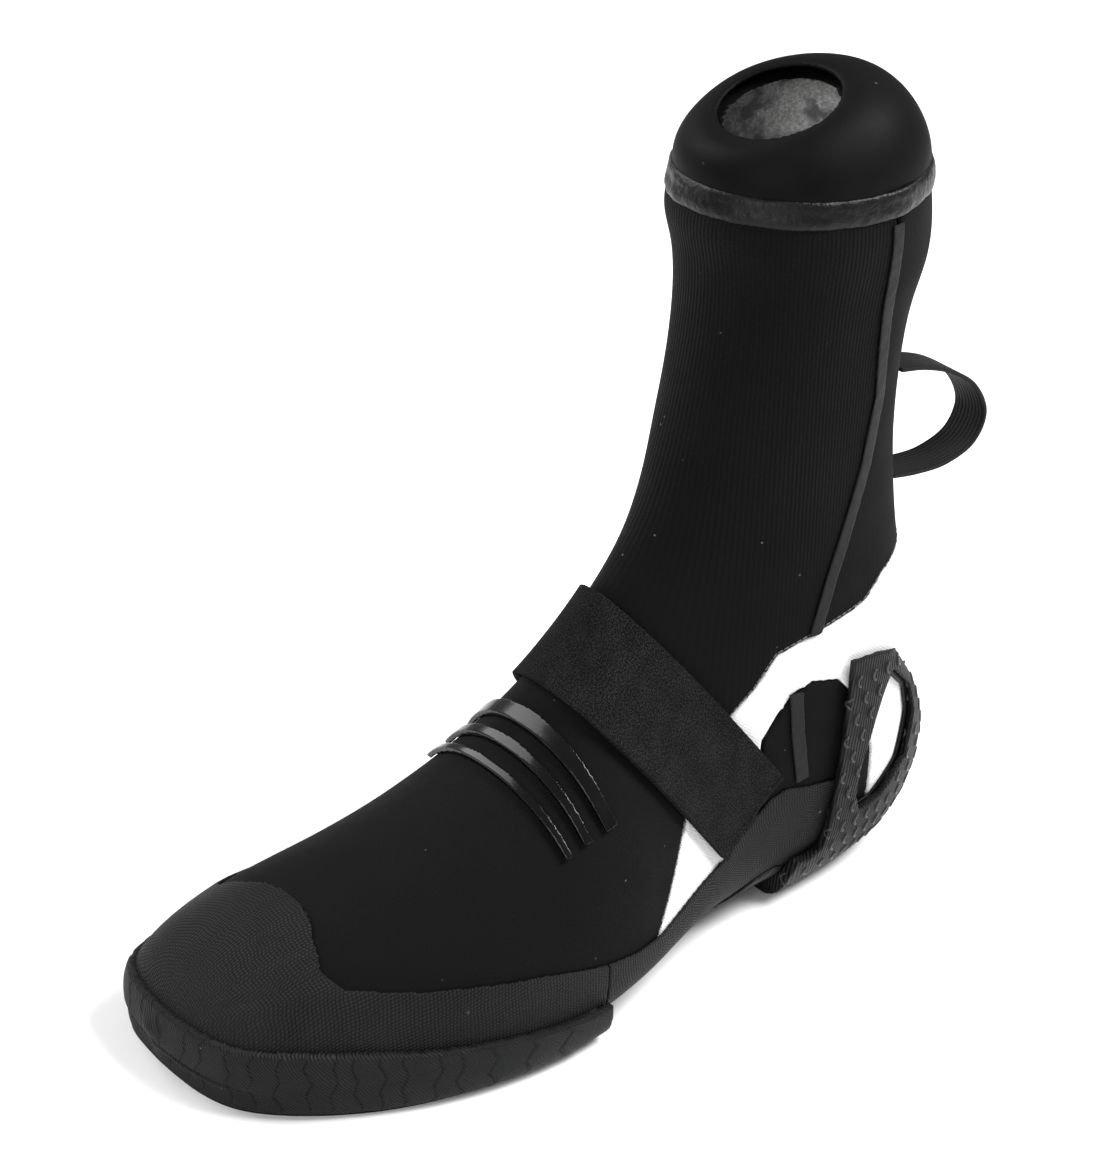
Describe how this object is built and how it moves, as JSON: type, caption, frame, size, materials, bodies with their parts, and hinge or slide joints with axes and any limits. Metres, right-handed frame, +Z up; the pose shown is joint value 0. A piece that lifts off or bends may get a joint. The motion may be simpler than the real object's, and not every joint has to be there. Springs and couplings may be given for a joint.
{
  "type": "neoprene water boot",
  "caption": "Left round-toe neoprene water boot with a split rubber sole, moulded heel cage, instep strap, domed cuff and webbing pull loop.",
  "frame": {"origin": "on the floor under the middle of the boot's overall length and width", "axes": "-Y towards the toe, +Y towards the heel and pull loop, +X towards the outer side of the foot, +Z up"},
  "size_m": [0.1135, 0.3231, 0.2898],
  "materials": {
    "rib_knit": "ribbed nylon jersey on neoprene, matt black",
    "plain_knit": "plain nylon jersey on neoprene, matt black",
    "smooth_neoprene": "fine-skinned neoprene, satin black",
    "smooth_skin": "smooth-skin neoprene, satin black",
    "white_weave": "white woven reflective fabric",
    "liquid_tape": "liquid seam tape, glossy black",
    "seam_tape": "bonded seam tape, satin black",
    "grid_rand": "grid-embossed rubberised fabric, dark grey",
    "gloss_rubber": "moulded rubber, glossy black",
    "sole_rubber": "moulded rubber with wave and scale relief, dark grey",
    "frame_rubber": "moulded rubber, matt black",
    "board": "bonded textile board",
    "foam": "cloth-covered foam",
    "fleece": "plush fleece, pale grey",
    "strap_velour": "brushed loop fabric, charcoal",
    "hook_tape": "hook tape, black",
    "webbing": "woven polyester webbing, black"
  },
  "bodies": {
    "boot": {"arch_plate": "frame_rubber", "back_seam_tape": "seam_tape", "bottom_panel": "smooth_neoprene", "collar_lining": "fleece", "cuff_collar": "smooth_skin", "cuff_seam_ring": "liquid_tape", "fleece_lining": "fleece", "heel_cage": "sole_rubber", "heel_frame_lateral": "frame_rubber", "heel_frame_medial": "frame_rubber", "heel_patch_lateral": "smooth_neoprene", "heel_patch_medial": "smooth_neoprene", "heel_tape_lateral": "seam_tape", "heel_tape_medial": "seam_tape", "insole": "foam", "instep_ridges": "gloss_rubber", "loop_tabs": "webbing", "midfoot_rand_lateral": "grid_rand", "midfoot_rand_medial": "grid_rand", "midsole_front": "board", "midsole_heel": "board", "outsole_front": "sole_rubber", "quarter_panel_lateral": "white_weave", "quarter_panel_medial": "white_weave", "seam_tape_lateral": "seam_tape", "seam_tape_medial": "seam_tape", "shaft_back_panel": "plain_knit", "shaft_front_panel": "rib_knit", "strap_base": "strap_velour", "strap_landing_patch": "strap_velour", "toe_cap_rand": "grid_rand", "vamp_panel": "smooth_neoprene"},
    "strap": {"instep_strap": "strap_velour"},
    "strap_tail": {"strap_tail": "strap_velour", "strap_hook_patch": "hook_tape"},
    "pull_loop": {"pull_loop": "webbing"}
  },
  "joints": [
    {"name": "strap_open", "type": "hinge", "parent": "boot", "child": "strap", "pos_m": [0.02925, 0.00601, 0.09438], "axis": [-0.2509, 0.771, 0.5853], "range_deg": [0, 100]},
    {"name": "strap_tail_peel", "type": "hinge", "parent": "strap", "child": "strap_tail", "pos_m": [-0.03115, 0.00601, 0.09438], "axis": [0.1336, 0.7894, 0.5992], "range_deg": [0, 150]},
    {"name": "loop_swing", "type": "hinge", "parent": "boot", "child": "pull_loop", "pos_m": [-0.002, 0.12, 0.1595], "axis": [0, 0, 1], "range_deg": [-35, 35], "stiffness_Nm_per_rad": 0.02}
  ]
}
